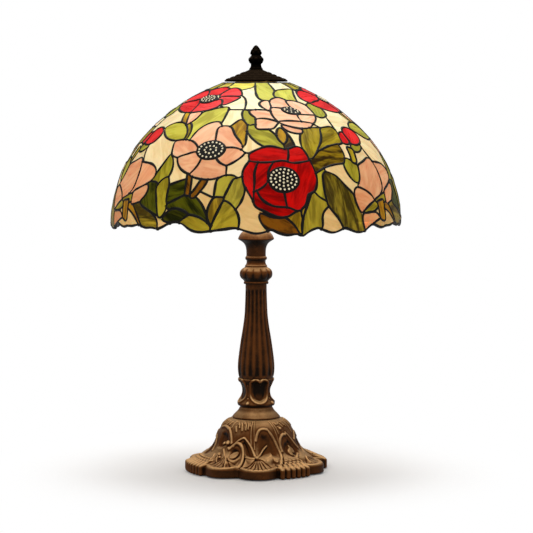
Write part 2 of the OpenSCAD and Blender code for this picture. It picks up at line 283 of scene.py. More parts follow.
LEAVES = [
    # under the large poppy, at the hem
    ("brown", 1.5, 25, 8, 17, 12, 22, 14, 12, 17, -2, 12, -7, 5, 2),
    ("olive", 11, 20, 15, 26, 18, 26, 18.2, 0, 16.8, -3, 14, 12),
    ("olive", 17.5, 24, 19, 44, 22.5, 50, 22, 38, 18.5, 14),
    ("green", 18.4, -9, 18.3, 15, 21, 38, 22.5, 49, 24, 50.5, 28.5, 40, 28.5, 35, 26, 27, 25, 18, 25, 5,
     22, -4),
    ("green", 23, 60, 24.5, 79, 28.5, 86, 29.2, 78, 28.3, 62, 29, 45, 28.5, 40, 24, 50),
    ("olive_dark", 28.8, 78, 33.5, 72, 37, 58, 40.8, 44, 41, 35, 42.5, 22, 45.5, -8, 36, -3, 33, 18, 29.2, 33,
     28.5, 42, 28.3, 62),
    ("green", 42.2, 98, 40.3, 90, 40.8, 78, 44, 62, 46.8, 72, 47.5, 85, 45, 93),
    ("brown_dark", 24, 100, 29, 112, 33, 118, 41, 119, 41.5, 105, 40, 92, 32, 89, 25, 79, 22, 88),
    ("olive", 46, 117, 49.5, 112, 47.8, 90, 45, 92, 46, 104),
    ("green", 49, 117, 53, 124, 57, 118, 55, 111, 50, 108),
    # beside the tulip
    ("amber", -62, 38, -57, 36, -52, 24, -48, 14, -45.5, 3, -49, 0, -52, 14, -57, 26, -62, 30),
    ("olive_dark", -54, 32, -49.5, 35, -45, 24, -41, 13, -41, 0, -47.5, 0, -50, 15),
    ("green", 45.3, 22, 48, 32, 54, 38, 54, 30, 49, 22),
    ("green", 52.5, 37, 56, 46, 62, 54, 64, 44, 58, 35),
    ("amber", 54, 36, 58, 38, 58, 10, 55, 12),
    # lower left of the pink poppy
    ("green", -40.5, 104, -37.5, 80, -42, 58, -46, 66, -43.5, 82),
    ("green_dark", -48, 63, -43, 63, -42, 52, -40, 20, -50, 34),
    ("green", -38, 71, -36, 45, -36.3, 32, -39.3, 15, -41.5, 45, -42.2, 58),
    ("green_dark", -29, 68, -29.5, 50, -33, 38, -36.3, 36, -36, 60),
    ("green_dark", -27, 48, -23.5, 42, -20.5, 28, -19, 10, -27, 18, -36.5, 32),
    ("green_dark", -38, 14, -34, 28, -29, 26, -26, 18, -30, 8),
    ("green", -30.5, 8, -26, 20, -22, 17, -18.5, 9, -17, 0, -25, -4),
    ("green", -15.5, 69, -12, 74, -8, 73, -12, 47, -16, 45),
    ("green", -8.5, 71, -5, 62, -4.8, 52, -8, 30, -12.3, 42),
    ("olive", -15.8, 45, -12.5, 44, -16, 8, -18, 14),
    ("green", -12, 40, -7.5, 24, -7.3, 4, -17, 2, -15.5, 15),
    ("brown", -28.8, 77, -26.8, 77, -26.5, 47, -28.4, 46),
    ("brown", -22, 70, -19.6, 68, -22, 54, -25, 42, -26.4, 45, -24, 58),
    # between the flowers of the middle
    ("green", -4, 155, 3, 151, 8, 141, 12.5, 115, 6, 116, -4, 145),
    ("amber", -8.7, 166, -5, 158, -5.5, 118, -11.3, 136, -13.5, 152),
    ("brown_dark", 15, 142, 17, 130, 17.8, 116, 14.6, 116, 13.2, 124),
    ("amber", 12.5, 151, 15.3, 138, 13, 122, 10.5, 137),
    ("olive", 26, 148, 36.3, 148, 34.2, 130, 29, 114, 24, 98, 22, 115, 23, 135),
    ("olive", 36, 148, 44.5, 151, 45.5, 140, 44, 122, 35, 119, 29, 111, 34, 130),
    ("green_light", -8.3, 185, -3.6, 181, -0.6, 165, -3, 154, -7.3, 168),
    ("green_light", -19, 191, -27, 188, -36, 179, -37.5, 147, -34, 129, -28, 153, -20, 160),
    ("olive", -43, 162, -37.2, 152, -36, 128, -39, 142),
    ("amber", -51, 184, -45, 176, -41, 150, -45, 156),
    ("green_light", -56, 149, -50, 158, -43.5, 156, -38.5, 142, -38, 129, -46, 130, -52, 138),
    ("pink", -46, 178, -37, 182, -38, 168, -41.5, 156),
    # the top rows
    ("yellow", -39.4, 268, -38, 255, -35, 248, -29, 242, -20, 237, -10, 242.5, -3, 249, -0.6, 256, -0.4, 268),
    ("yellow_dark", -60, 268, -61, 243, -50, 246, -39, 244, -37, 252, -39, 268),
    ("olive", 46, 268, 46, 239, 53, 241, 60.5, 241, 60, 268),
    ("green_light", -0.2, 268, -0.2, 240, 2.8, 215, 8, 208, 15, 214, 19, 228, 19.7, 240, 18, 268),
    ("green_light", 16.5, 220, 20, 232, 30, 237.5, 43, 238.5, 37, 225, 32.5, 203, 24, 207),
    ("green", 39.6, 197, 45, 199.5, 49.8, 194, 49.2, 178, 45, 171.6, 40.6, 172, 38.6, 182),
]

FLOWERS = [
    # red poppy high up
    ("red_light", -60, 230, -50, 243, -40, 247, -31, 240, -34, 226, -44, 222, -52, 224),
    ("red_light", -35, 226, -31, 241, -18, 239, -13, 222, -22, 216, -32, 216),
    ("red_light", -32, 218, -20, 219, -13, 217, -19, 205, -24, 197, -29, 202, -33, 210),
    ("red_light", -38, 208, -29, 211, -26, 200, -30, 190, -40, 183, -48, 181, -49, 196, -46, 208),
    ("red_light", -50, 210, -47, 196, -47, 181, -56, 182, -68, 194, -72, 207, -60, 213),
    ("red_light", -70, 203, -74.4, 214, -71, 229, -60, 236, -50, 222, -54, 212, -64, 207),
    # tulip on the hem, with its bud
    ("pink", -62, 94, -55.5, 91, -49, 88, -45.5, 80, -46, 68, -50, 60, -55, 50, -62, 46),
    ("pink", -48, 61, -47.3, 52, -50, 40, -56, 32, -56, 50),
    ("pink", 42.5, 56, 47.5, 54, 51.8, 38, 46, 27, 44, 21, 42, 35, 41.5, 48),
    ("pink", 45, 21, 52, 22.5, 54.5, 14, 50, 7, 46.5, -6, 44.5, 12),
    ("pink", 48, 88, 53, 93, 57, 99, 59, 90, 60, 70, 58.8, 52, 52.5, 41, 48.5, 52, 43.8, 58, 46.5, 68,
     47.6, 80),
    ("red_light", 45.4, 130, 46.8, 139.5, 49.6, 142, 50.6, 131, 49, 120, 46.2, 121),
    ("red_light", 50.3, 141, 53, 149, 57.4, 148.6, 60.8, 138, 59.2, 125, 55, 119.5, 50.8, 121.5, 50.6, 132),
    # pink poppy
    ("pink", -33, 130, -29, 154, -21, 161, -18.5, 150, -19, 120, -27, 114),
    ("pink", -20.5, 150, -17, 153, -13.5, 151, -11, 138, -7, 122, -6, 114, -12, 112, -19, 118),
    ("pink", -42, 125, -33, 127, -28, 117, -27, 109, -36, 100, -40, 104),
    ("pink", -36, 100, -28, 109, -22, 100, -24, 88, -27.5, 76, -32, 82, -35, 92),
    ("pink", -24, 100, -16, 101, -12.5, 86, -13.2, 76, -17, 70, -23, 70, -28, 75, -25, 88),
    ("pink", -17, 112, -9, 115, -5, 107, -8, 98, -12.5, 89, -17, 99),
    # rose near the top
    ("pink", 2, 200, 7, 208, 11, 205, 12, 190, 10, 183, 4, 193),
    ("pink", 10.5, 206, 14, 213, 20, 215, 24.5, 208, 25, 197, 20, 190, 11, 189),
    ("pink", 24, 207, 33, 205, 38.5, 196, 39, 175, 28, 175, 25, 190),
    ("pink", -4.5, 183, 3, 186, 10, 181, 13.5, 161, 5, 167, -1, 172),
    ("pink", 10, 190, 19, 188, 27, 174, 28.5, 161, 20, 162, 13, 161, 10, 177),
    ("pink", 26.5, 176, 38.8, 174, 36, 163, 31, 155, 27, 162),
    ("pink", 0, 166, 5, 167.5, 12.5, 160, 9, 148, 0, 148),
    ("pink", 12.5, 161, 20, 163, 33, 157.5, 29, 150, 22, 151),
    ("pink", 13.5, 156, 25, 146, 24, 140, 17, 144),
    # large red poppy
    ("red", -3.3, 105, 2.5, 115, 6, 118, 14.5, 113, 17.5, 117, 20.5, 116, 21.8, 111, 23.3, 95, 24.8, 70,
     23.2, 53, 20.5, 50, 19.8, 44, 18.5, 33, 15, 27, 11.5, 20, 8.5, 19.5, 3, 28, 0, 33, -1, 42, -2.5, 50,
     -4.8, 64, -5.3, 78, -4.2, 88, -2.6, 95),
]

# Each flower's centre: its middle, half its size, its tilt, and the spacing of its beads
CENTRES = [((11, 69), (6.2, 17), -4, 5.2), ((-20.8, 112), (6.7, 14.5), 6, 5.0), ((23.5, 184), (6, 7), -14, 4.2),
           ((-43, 212), (8.5, 9.5), 0, 4.4)]

# Lead lines that cut up the large poppy, and those that cut up the ivory ground
PETAL_LINES = [
    (-2.6, 95, 3, 93, 7.5, 94, 12, 96, 15.5, 92, 19, 93, 23.5, 95.5), (14.5, 114, 14.3, 105, 13.5, 96),
    (0.8, 93, -0.6, 80, -0.6, 65, -1, 43), (7.5, 94, 5, 80, 4.7, 66, 0.3, 54),
    (16, 90, 19, 80, 20.3, 65, 20.5, 49), (10.8, 54, 11.2, 44, 11.7, 32),
    (0.3, 54, 1, 48, 3, 40, 7, 33, 12, 32, 15, 27.5),
]
GROUND_LINES = [
    (-59.6, 130, -59.4, 114, -57.8, 100, -55.5, 89), (-56, 149, -60, 142), (45.8, 147, 46.2, 160, 46.6, 176),
    (33, 158, 36.6, 149), (39, 175, 42, 171), (44.5, 123, 47, 121), (-12.6, 82, -12, 74), (-7.4, 71, -4, 75),
    (-17, 45, -22, 52), (-6.5, 108, -3, 107), (-19.6, 187, -8, 186.4, 0, 186.4, 3.6, 186),
    (-26, 195, -19.5, 187), (-8, 184, -7.4, 196, -8.3, 210, -10.5, 217, -14, 222), (41.5, 237, 46, 241),
    (46, 240, 46, 268),
]

HEM = (-60, 4, -57, 3, -52, 6, -48, 2, -45, 3.5, -41, 2, -36.5, 9, -33, 12, -30, 10, -26, 1, -22, -1, -18, 1,
       -12, 3.5, -8, 5.5, -5, 2.5, 0, -2, 4, 1, 6, 4.5, 9, -2, 12, -4.5, 16.5, -2.5, 18.4, -6, 21, 0.5,
       25, 5.5, 28, 0.5, 31, -2.5, 34, 0, 36.5, 4.5, 40, 0, 43, -3, 46, -2.5, 50, 5, 52, 7, 55, 3, 58, 1,
       60, 4)
CROWN_UP = 263.0
LINE_OVERRUN = 3.5
# How far shapes are moved outwards, so that leaves and flowers meet their neighbours
LEAF_SWELL, FLOWER_SWELL = 1.9, 0.7
# Spacing of the extra points that let a pane follow the dome, and how near a line they may come
MESH_UP, MESH_ACROSS, MESH_CLEAR = 6.5, 7.0, 2.4
SLIVER = 40 * MM * MM  # panes smaller than this join a neighbour
EDGE, CENTRE = "edge", "centre"


def spread(a):
    """The drawing runs a little short towards the edges of its repeat, so it is stretched there."""
    return a * (1 + 0.036 * (abs(a) / 60) ** 3)


def ellipse(centre, half, tilt, count=20):
    turn = math.radians(tilt)
    made = []
    for i in range(count):
        t = 2 * math.pi * i / count
        x, y = half[0] * FLAT * math.cos(t), half[1] * math.sin(t)
        made.append((centre[0] + (x * math.cos(turn) - y * math.sin(turn)) / FLAT,
                     centre[1] + x * math.sin(turn) + y * math.cos(turn)))
    return made


def smooth(points, closed, step=2.6, corner_deg=52.0):
    """A curve through the points, about step mm between its own points, with sharp turns kept as corners."""
    p = np.array([(spread(a) * FLAT, v) for a, v in points])
    n = len(p)
    count = n if closed else n - 1
    units = [(p[(i + 1) % n] - p[i]) / max(np.linalg.norm(p[(i + 1) % n] - p[i]), 1e-9) for i in range(count)]

    def direction(i):
        """The way the curve runs at a point, or None at an end or a corner."""
        if not closed and i in (0, n - 1):
            return None
        before, after = units[(i - 1) % count], units[i % count]
        if before @ after < math.cos(math.radians(corner_deg)):
            return None
        return (before + after) / np.linalg.norm(before + after)

    out = []
    for i, unit in enumerate(units):
        a, b = p[i], p[(i + 1) % n]
        size = np.linalg.norm(b - a)
        start, end = direction(i), direction((i + 1) % n)
        if start is None and end is None:
            start = end = unit
        elif start is None:
            start = 2 * (end @ unit) * unit - end
        elif end is None:
            end = 2 * (start @ unit) * unit - start
        pieces = max(2, int(round(size / step)))
        out.extend(hermite(k / pieces, size, a, b, start, end) for k in range(pieces))
    return np.array(out if closed else out + [p[-1]])


def lengthened(chain, size):
    """The chain with both ends run straight on, so that it surely meets what it should end on."""
    first, last = chain[0] - chain[1], chain[-1] - chain[-2]
    return np.vstack([chain[0] + first / np.linalg.norm(first) * size, chain,
                      chain[-1] + last / np.linalg.norm(last) * size])


def swollen(outline, most):
    """A closed outline moved outwards by up to most mm, less where the shape is slender."""
    after, before = np.roll(outline, -1, axis=0), np.roll(outline, 1, axis=0)
    area = np.sum(outline[:, 0] * after[:, 1] - after[:, 0] * outline[:, 1]) / 2
    around = np.linalg.norm(after - outline, axis=1).sum()
    along = unit_rows(after - before)
    outward = np.stack([along[:, 1], -along[:, 0]], axis=1) * np.sign(area)
    return outline + outward * min(most, 0.25 * abs(area) / around)


def draw_shapes():
    """Every closed shape of the pattern as (colour, flat outline), back to front."""
    shapes = [(colour, swollen(smooth(pairs(numbers), True), most))
              for table, most in ((LEAVES, LEAF_SWELL), (FLOWERS, FLOWER_SWELL)) for colour, *numbers in table]
    return shapes + [(CENTRE, smooth(ellipse(*centre[:3]), True)) for centre in CENTRES]


def cut_pattern():
    """One repeat as triangles: points, triangles, each one's shape, lead lines, shapes' colours, half width."""
    half = REPEAT_DEG / 2 * FLAT
    shifts = [np.array([shift, 0.0]) for shift in (-2 * half, 0, 2 * half)]
    shapes = draw_shapes()
    hem = smooth(pairs(HEM), False)
    hem[:, 0] *= half / hem[-1, 0]
    coords, edges, line_of = [], [], []

    def add(chain, closed, line):
        first = len(coords)
        coords.extend(Vector(q) for q in chain)
        for i in range(len(chain) - (0 if closed else 1)):
            edges.append((first + i, first + (i + 1) % len(chain)))
            line_of.append(line)

    def add_repeats(chain, closed, line):
        for shift in shifts:
            moved = chain + shift
            if moved[:, 0].max() > -half - 1 and moved[:, 0].min() < half + 1:
                add(moved, closed, line)

    for _, outline in shapes:
        add_repeats(outline, True, None)
    for colour, table in (("red", PETAL_LINES), ("ivory", GROUND_LINES)):
        for numbers in table:
            add_repeats(lengthened(smooth(pairs(numbers), False), LINE_OVERRUN), False, colour)
    add(hem, False, EDGE)
    add(np.array([(x, CROWN_UP) for x in np.linspace(-half, half, 41)]), False, EDGE)
    for x in (-half, half):
        add(np.array([(x, up) for up in np.arange(-12.0, CROWN_UP + 4, 3.0)]), False, None)
    known = KDTree(len(coords))
    for i, q in enumerate(coords):
        known.insert((q.x, q.y, 0), i)
    known.balance()
    for up in np.arange(-6.0, CROWN_UP, MESH_UP):
        for x in np.arange(-half + MESH_ACROSS / 2, half, MESH_ACROSS):
            if known.find((x, up, 0))[2] > MESH_CLEAR:
                coords.append(Vector((x, up)))
    points, out_edges, faces, _, sources, _ = delaunay_2d_cdt(coords, edges, [], 0, 1e-3, True)
    points = np.array([tuple(q) for q in points])
    lines = {}
    for edge, source in zip(out_edges, sources):
        names = {line_of[i] for i in source if i < len(line_of) and line_of[i]}
        if names:
            lines[tuple(sorted(edge))] = names
    faces = np.array([f for f in faces if len(f) == 3])
    x, up = points[faces].mean(axis=1).T
    shown = (np.abs(x) < half) & (up < CROWN_UP) & (up > np.interp(x, hem[:, 0], hem[:, 1]))
    faces, x, up = faces[shown], x[shown], up[shown]
    label = np.zeros(len(faces), int)
    for number, (_, outline) in enumerate(shapes, start=1):
        for shift in shifts:
            label[inside(x, up, outline + shift)] = number
    return points, faces, label, lines, ["ivory"] + [colour for colour, _ in shapes], half


def join_repeats(points, faces, label, lines, half):
    """The repeats put side by side and welded into one ring: angles, heights up, triangles, labels, lines."""
    left, right = (np.flatnonzero(np.abs(points[:, 0] - x) < 1e-3) for x in (-half, half))
    count = len(points)
    index = np.arange(REPEATS * count).reshape(REPEATS, count)
    for i in right:
        beside = left[np.argmin(np.abs(points[left, 1] - points[i, 1]))]
        index[:, i] = (np.arange(REPEATS) + 1) % REPEATS * count + beside
    angles = np.concatenate([points[:, 0] / FLAT + REPEAT_DEG * k for k in range(REPEATS)])
    all_lines = {}
    for row in index:
        for (i, j), names in lines.items():
            all_lines.setdefault(tuple(sorted((row[i], row[j]))), set()).update(names)
    return (angles, np.tile(points[:, 1], REPEATS), np.concatenate([row[faces] for row in index]),
            np.tile(label, REPEATS), all_lines)


def find_panes(faces, label, lines, colours, positions):
    """Each triangle's pane, each pane's colour, and the edges that carry a lead line."""
    owners = {}
    for f, (a, b, c) in enumerate(faces):
        for i, j in ((a, b), (b, c), (c, a)):
            owners.setdefault((i, j) if i < j else (j, i), []).append(f)
    parent = list(range(len(faces)))

    def root(i):
        while parent[i] != i:
            parent[i] = parent[parent[i]]
            i = parent[i]
        return i

    cuts = []
    for edge, pair in owners.items():
        if len(pair) == 1:
            cuts.append((edge, pair[0], -1))
            continue
        f, g = pair[:2]
        if label[f] != label[g] or colours[label[f]] in lines.get(edge, ()):
            cuts.append((edge, f, g))
        else:
            parent[root(f)] = root(g)
    pane = np.array([root(i) for i in range(len(faces))])
    corners = positions[faces]
    area = np.linalg.norm(np.cross(corners[:, 1] - corners[:, 0], corners[:, 2] - corners[:, 0]), axis=1) / 2
    # slivers join the neighbour that they share most of their edge with, but never a flower's centre
    for _ in range(3):
        total, shared = {}, {}
        for p, size in zip(pane, area):
            total[p] = total.get(p, 0) + size
        for (i, j), f, g in cuts:
            if g < 0 or pane[f] == pane[g]:
                continue
            size = np.linalg.norm(positions[i] - positions[j])
            for one, other in ((f, g), (g, f)):
                if colours[label[other]] != CENTRE:
                    beside = shared.setdefault(pane[one], {})
                    beside[pane[other]] = beside.get(pane[other], 0) + size
        small = {p: max(shared[p], key=shared[p].get) for p, size in total.items()
                 if size < SLIVER and p in shared}
        for p, target in small.items():
            if target not in small:
                pane[pane == p] = target
    # a merged sliver takes its new pane's colour: that of the largest part
    parts = {}
    for p, shape, size in zip(pane, label, area):
        held = parts.setdefault(p, {})
        held[shape] = held.get(shape, 0) + size
    colour_of = {p: colours[max(held, key=held.get)] for p, held in parts.items()}
    # lead runs round every pane, and along ground lines even where they stop short of closing a pane
    leaded = [edge for edge, f, g in cuts
              if g < 0 or pane[f] != pane[g] or colours[label[f]] == "ivory" == colours[label[g]]]
    return pane, colour_of, leaded


# ------------------------------------------------------------------ glass and solder

# Each glass with its kind, its lighter streaks and its darker ones
GLASSES = {
    "ivory": ("ivory", (252, 240, 196), (232, 212, 160)),
    "yellow": ("green", (234, 222, 98), (214, 198, 72)),
    "yellow_dark": ("green", (204, 188, 80), (150, 132, 38)),
    "green_light": ("green", (200, 197, 76), (160, 156, 42)),
    "green": ("green", (188, 188, 62), (136, 134, 34)),
    "olive": ("olive", (184, 168, 40), (112, 98, 14)),
    "green_dark": ("olive", (84, 96, 14), (28, 36, 2)),
    "olive_dark": ("olive", (166, 160, 50), (72, 66, 16)),
    "amber": ("amber", (196, 158, 28), (140, 104, 12)),
    "brown": ("amber", (136, 94, 18), (52, 32, 4)),
    "brown_dark": ("amber", (146, 124, 20), (50, 36, 6)),
    "pink": ("pink", (250, 204, 168), (234, 166, 128)),
    "red": ("red", (206, 10, 5), (128, 2, 2)),
    "red_light": ("red", (236, 48, 48), (196, 16, 22)),
}
# How soft the streaks of each kind of glass are, and how much light spreads inside it
GLASS_KINDS = {"ivory": (0.22, 0.25), "green": (0.16, 0.15), "olive": (0.14, 0.1), "amber": (0.12, 0.1),
               "pink": (0.2, 0.25), "red": (0.18, 0.1)}
# Painted shade: what the ground colour is multiplied by at the hem, darker and browner low down where less
# light falls; it fades out up the dome
HEM_PAINTED_SHADE, PAINTED_SHADE_UP = (0.8, 0.56, 0.32), 210
PANE_SAG = 0.4  # how far a pane may be flattened
SOLDER_HALF, HEM_SOLDER_HALF, SOLDER_PROUD = 2.3, 2.1, 0.75


def glass_material(name, softness, clear):
    """Opalescent glass: long streaks of two colours along each pane's own grain, rolled ripples, a gloss."""
    shader = Shader(name)
    grain = shader.attribute("grain", "Vector")
    streaks = shader.noise(shader.scaled(grain, (0.28, 1.0, 1.0)), 60, 4, 0.55, 1.1)
    fine = shader.noise(shader.scaled(grain, (0.2, 1.0, 1.0)), 260, 3, 0.6, 0.6)
    factor = shader.remap(shader.stirred(streaks, fine, 0.28), 0.5 - softness, 0.5 + softness)
    shader.set(Base_Color=shader.mix(factor, shader.attribute("dark"), shader.attribute("light")),
               Roughness=shader.remap(fine, 0.2, 0.8, 0.24, 0.38), IOR=1.45, Specular_IOR_Level=0.07,
               Subsurface_Weight=clear, Subsurface_Scale=0.004)
    shader.bump(shader.noise(shader.scaled(grain, (0.6, 1.0, 1.0)), 120, 2, 0.5), 0.35, 0.0009)
    return shader.material


def build_panes(kind, panes, angles, ups, seed):
    """One mesh of all panes of a kind of glass, each a slightly flattened plate with its own grain."""
    random.seed(seed)
    points, faces, grain, light, dark = [], [], [], [], []
    for colour, triangles in panes:
        used = sorted({i for tri in triangles for i in tri})
        place = {i: n for n, i in enumerate(used)}
        outer, inner = (on_dome(angles[used], ups[used], depth) for depth in (0.0, GLASS_T))
        middle = outer.mean(axis=0)
        _, _, axes = np.linalg.svd(outer - middle, full_matrices=False)
        height = (outer - middle) @ axes[2]
        outward = 1 if axes[2] @ (outer - inner).mean(axis=0) > 0 else -1
        bulge = ((height.mean() - height) * outward).max()
        lift = np.outer(height - height.mean(), axes[2]) * min(0.5, PANE_SAG * MM / max(bulge, 1e-6))
        outer, inner = outer - lift, inner - lift
        first, count = len(points), len(used)
        points.extend(outer)
        points.extend(inner)
        sides = {}
        for tri in triangles:
            i, j, k = (place[t] for t in tri)
            faces.append((first + i, first + j, first + k))
            faces.append((first + count + k, first + count + j, first + count + i))
            sides.update({(i, j): True, (j, k): True, (k, i): True})
        faces.extend((first + q, first + p, first + count + p, first + count + q)
                     for p, q in sides if (q, p) not in sides)
        random.uniform(0, 1)  # keeps the draws below in step
        swing = random.uniform(-0.6, 0.6)
        c, s = math.cos(swing), math.sin(swing)
        turned = (outer - middle) @ axes[:2].T @ np.array([[c, -s], [s, c]])
        offset = np.array([random.uniform(0, 3) for _ in range(3)])
        for layer in (0, 0.0008):
            grain.extend(np.column_stack([turned, np.full(count, layer)]) + offset)
        shade = random.uniform(0.9, 1.08)
        # painted shade: panes low on the dome are darkened and browned, less the higher they sit
        low_shade_share = max(0.0, 1 - ups[used].mean() / PAINTED_SHADE_UP)
        for store, base in zip((light, dark), GLASSES[colour][1:]):
            tone = [min(1.0, x * shade * (1 + (hem_shade - 1) * low_shade_share)) for x, hem_shade in zip(srgb(*base), HEM_PAINTED_SHADE)]
            store.extend([(*tone, 1.0)] * (2 * count))
    name = kind + "_glass"
    material = glass_material(name, *GLASS_KINDS[kind])
    piece = add_piece(name, points, faces, material, "shade", smooth=False)
    keep_values(piece, "grain", "FLOAT_VECTOR", "vector", grain)
    keep_values(piece, "light", "FLOAT_COLOR", "color", light)
    keep_values(piece, "dark", "FLOAT_COLOR", "color", dark)
    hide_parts(kind + "_panes")


def chains_of(edges):
    """Edges joined end to end into chains between junctions, and closed loops."""
    near = {}
    for i, j in edges:
        near.setdefault(i, []).append(j)
        near.setdefault(j, []).append(i)
    ends = [i for i, links in near.items() if len(links) != 2]
    done, chains = set(), []

    def take(start, step):
        """Walks from an edge that isn't taken yet, up to a junction or back to the start."""
        if frozenset((start, step)) in done:
            return
        chain = [start, step]
        done.add(frozenset(chain))
        while len(near[chain[-1]]) == 2 and chain[-1] != start:
            here, back = chain[-1], chain[-2]
            ahead = near[here][0] if near[here][1] == back else near[here][1]
            if frozenset((here, ahead)) in done:
                break
            done.add(frozenset((here, ahead)))
            chain.append(ahead)
        chains.append(chain)

    for i in ends:
        for j in near[i]:
            take(i, j)
    for i, j in edges:
        take(i, j)
    return chains, ends


def frames_on_dome(angles, ups):
    """Mid-glass points of the dome and its outward normals there."""
    normal = on_dome(angles, ups) - on_dome(angles, ups, GLASS_T)
    return on_dome(angles, ups, GLASS_T / 2), normal / np.linalg.norm(normal, axis=1, keepdims=True)


def circle(sides):
    """Cosine and sine of evenly spaced angles round a circle."""
    return [(math.cos(t), math.sin(t)) for t in (2 * math.pi * side / sides for side in range(sides))]


def add_bead(points, faces, middle, normal, half_w, half_h, closed, sides=10):
    """A soft round bead of solder along a line, standing proud of both sides of the glass."""
    along = np.gradient(middle, axis=0)
    if closed:
        along[0] = along[-1] = middle[1] - middle[-2]
    across = unit_rows(np.cross(unit_rows(along), normal))
    first, count = len(points), len(middle)
    for k in range(count):
        points.extend(middle[k] + across[k] * half_w[k] * c + normal[k] * half_h[k] * s
                      for c, s in circle(sides))
    for row in range(first, first + (count - 1) * sides, sides):
        for side in range(sides):
            a, b = row + side, row + (side + 1) % sides
            faces.append((a, b, b + sides, a + sides))
    if not closed:
        faces.append(tuple(range(first, first + sides))[::-1])
        faces.append(tuple(range(len(points) - sides, len(points))))


def add_blob(points, faces, middle, normal, half_w, half_h, rings=5, sides=10):
    """A rounded lump of solder where lines meet."""
    side_way = Vector(normal).orthogonal().normalized()
    side_way, other_way = np.array(side_way), np.array(Vector(normal).cross(side_way))
    first = len(points)
    points.append(middle - normal * half_h)
    for ring in range(1, rings):
        rise, wide = -math.cos(math.pi * ring / rings), math.sin(math.pi * ring / rings)
        points.extend(middle + normal * half_h * rise + (side_way * c + other_way * s) * half_w * wide
                      for c, s in circle(sides))
    points.append(middle + normal * half_h)
    for side in range(sides):
        a, b = first + 1 + side, first + 1 + (side + 1) % sides
        faces.append((first, b, a))
        for k in range(0, (rings - 2) * sides, sides):
            faces.append((a + k, b + k, b + k + sides, a + k + sides))
        k = (rings - 2) * sides
        faces.append((a + k, b + k, len(points) - 1))


def build_solder(edges, angles, ups, rim, patina):
    """All lead lines of the dome as one mesh of soldered beads with lumps at their meetings."""
    chains, ends = chains_of(edges)
    points, faces = [], []
    for chain in chains:
        a, u = np.degrees(np.unwrap(np.radians(angles[chain]))), ups[chain].copy()
        for _ in range(3):
            for way in (a, u):
                way[1:-1] = (way[:-2] + 2 * way[1:-1] + way[2:]) / 4
        middle, normal = frames_on_dome(a, u)
        half = HEM_SOLDER_HALF if np.mean([i in rim for i in chain]) > 0.6 else SOLDER_HALF
        uneven = np.array([noise.noise(Vector(m) * 90) for m in middle])
        add_bead(points, faces, middle, normal, half * (1 + 0.22 * uneven) * MM,
                 (GLASS_T / 2 + SOLDER_PROUD + 0.25 * uneven) * MM, chain[0] == chain[-1])
    for m, n in zip(*frames_on_dome(angles[ends], ups[ends])):
        add_blob(points, faces, m, n, SOLDER_HALF * 1.35 * MM, (GLASS_T / 2 + 1.0) * MM)
    piece = add_piece("solder_lines", points, faces, patina, "shade")
    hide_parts("solder_rings", "solder_ribs")


def patina_material():
    """Solder under a black patina: nearly black, a little brown where it is rubbed."""
    shader = Shader("black_patina")
    place = shader.place()
    rubbed = shader.noise(place, 220, 3, 0.6)
    factor = shader.remap(rubbed, 0.5, 0.8)
    shader.set(Base_Color=shader.mix(factor, (0.003, 0.0025, 0.002, 1), (0.012, 0.009, 0.006, 1)), Metallic=0.0,
               Roughness=shader.remap(rubbed, 0.3, 0.7, 0.4, 0.6), Specular_IOR_Level=0.12)
    shader.bump(shader.noise(place, 400, 2), 0.25, 0.0004)
    return shader.material


def dots_in(centre, half, tilt, gap):
    """Places for the round beads of a flower's centre: rings inside an ellipse, as angle and height up."""
    narrow = float(dome(centre[1])[0]) * math.radians(1)
    turn = math.radians(tilt)
    wide, tall = half[0] * narrow - 2.2, half[1] - 2.2
    made = [centre]
    rings = max(1, round(tall / gap))
    for ring in range(1, rings + 1):
        rx, ry = wide * ring / rings * 0.94, tall * ring / rings * 0.94
        count = max(5, round(math.pi * (rx + ry) / gap))
        for i in range(count):
            t = 2 * math.pi * (i + 0.5 * (ring % 2)) / count
            x, y = rx * math.cos(t), ry * math.sin(t)
            px, py = x * math.cos(turn) - y * math.sin(turn), x * math.sin(turn) + y * math.cos(turn)
            made.append((centre[0] + px / narrow, centre[1] + py))
    return np.array(made)


def build_centres(triangles, angles, ups, patina):
    """Flower centres: a dark pierced cap soldered over the glass, with rows of pale beads showing."""
    used = sorted({i for tri in triangles for i in tri})
    place = {i: n for n, i in enumerate(used)}
    faces = [tuple(place[i] for i in tri) for tri in triangles]
    faces += [tuple(i + len(used) for i in reversed(tri)) for tri in faces]
    depths = (-0.9, GLASS_T + 0.5)
    points = np.concatenate([on_dome(angles[used], ups[used], depth) for depth in depths])
    add_piece("flower_centres", points, faces, patina, "shade")
    points, faces = [], []
    for k in range(REPEATS):
        for (angle, up), half, tilt, gap in CENTRES:
            a, u = dots_in((spread(angle) + k * REPEAT_DEG, up), half, tilt, gap).T
            _, normal = frames_on_dome(a, u)
            for depth in depths:
                for m, n in zip(on_dome(a, u, depth), normal):
                    add_blob(points, faces, m, n, 0.29 * gap * MM, 0.9 * MM, 4, 8)
    shader = Shader("bead_glass")
    spots = shader.noise(shader.place(), 300, 2)
    shader.set(Base_Color=shader.mix(spots, (214, 196, 150), (246, 236, 205)), Roughness=0.3)
    add_piece("centre_beads", points, faces, shader.material, "shade")


def build_glass(patina):
    points, faces, label, lines, colours, half = cut_pattern()
    angles, ups, faces, label, lines = join_repeats(points, faces, label, lines, half)
    pane, colour_of, edges = find_panes(faces, label, lines, colours, on_dome(angles, ups))
    by_pane = {}
    for p, tri in zip(pane, faces):
        by_pane.setdefault(p, []).append(tuple(int(i) for i in tri))
    kinds, centres = {kind: [] for kind in sorted(GLASS_KINDS)}, []
    for p, triangles in by_pane.items():
        colour = colour_of[p]
        if colour == CENTRE:
            centres.extend(triangles)
        else:
            kinds[GLASSES[colour][0]].append((colour, triangles))
    for seed, (kind, panes) in enumerate(kinds.items()):
        build_panes(kind, panes, angles, ups, seed)
    rim = {i for edge in edges for i in edge if lines.get(tuple(sorted(edge))) == {EDGE}}
    build_solder(edges, angles, ups, rim, patina)
    build_centres(centres, angles, ups, patina)


